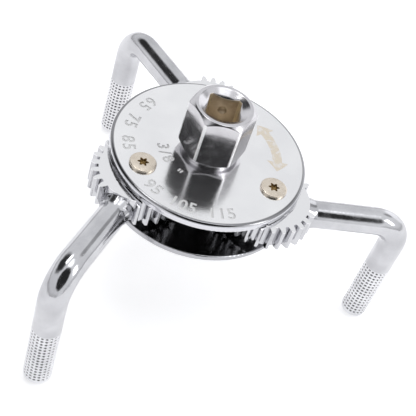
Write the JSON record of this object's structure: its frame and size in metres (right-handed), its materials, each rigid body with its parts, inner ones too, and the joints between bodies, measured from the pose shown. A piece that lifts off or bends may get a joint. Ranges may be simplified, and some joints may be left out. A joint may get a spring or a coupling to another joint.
{
  "type": "oil filter wrench",
  "caption": "Three-jaw oil filter wrench: a square-drive hex head turns a pinion that swings geared jaws with knurled legs to grip a canister.",
  "frame": {"origin": "centre of the square socket's mouth, on the drive axis", "axes": "+Z out of the socket along the drive axis, the legs hang towards -Z; +Y through the first jaw's pivot"},
  "size_m": [0.1099, 0.119, 0.0717],
  "materials": {
    "plate_chrome": "satin chrome plate, lightly brushed on the flat faces",
    "head_chrome": "polished chrome plate, bronze tone inside the square socket",
    "jaw_chrome": "polished chrome plate, knurled grip",
    "screw_zinc": "pale yellow zinc plate",
    "gear_steel": "plain machined steel with a film of grease",
    "plain_steel": "plain steel"
  },
  "bodies": {
    "frame": {"top_plate": "plate_chrome", "bottom_plate": "plate_chrome", "upper_thrust_washer": "plain_steel", "lower_thrust_washer": "plain_steel", "pivot_post_1": "plain_steel", "upper_shim_1": "plain_steel", "lower_shim_1": "plain_steel", "top_screw_1": "screw_zinc", "bottom_screw_1": "screw_zinc", "pivot_post_2": "plain_steel", "upper_shim_2": "plain_steel", "lower_shim_2": "plain_steel", "top_screw_2": "screw_zinc", "bottom_screw_2": "screw_zinc", "pivot_post_3": "plain_steel", "upper_shim_3": "plain_steel", "lower_shim_3": "plain_steel", "top_screw_3": "screw_zinc", "bottom_screw_3": "screw_zinc"},
    "drive": {"drive_socket": "head_chrome", "drive_pinion": "gear_steel", "retaining_ring": "plain_steel"},
    "jaw_1": {"jaw_1": "jaw_chrome"},
    "jaw_2": {"jaw_2": "jaw_chrome"},
    "jaw_3": {"jaw_3": "jaw_chrome"}
  },
  "joints": [
    {"name": "drive_spin", "type": "hinge", "parent": "frame", "child": "drive", "pos_m": [0, 0, 0], "axis": [0, 0, 1], "range_deg": [-123.75, 231.75]},
    {"name": "jaw_1_swing", "type": "hinge", "parent": "frame", "child": "jaw_1", "pos_m": [0, 0.0225, -0.026], "axis": [0, 0, 1], "range_deg": [-154.5, 82.5]},
    {"name": "jaw_2_swing", "type": "hinge", "parent": "frame", "child": "jaw_2", "pos_m": [-0.01949, -0.01125, -0.026], "axis": [0, 0, 1], "range_deg": [-154.5, 82.5]},
    {"name": "jaw_3_swing", "type": "hinge", "parent": "frame", "child": "jaw_3", "pos_m": [0.01949, -0.01125, -0.026], "axis": [0, 0, 1], "range_deg": [-154.5, 82.5]}
  ],
  "couplings": [
    {"joint": "jaw_1_swing", "follows": "drive_spin", "ratio": -0.66667},
    {"joint": "jaw_2_swing", "follows": "drive_spin", "ratio": -0.66667},
    {"joint": "jaw_3_swing", "follows": "drive_spin", "ratio": -0.66667}
  ]
}
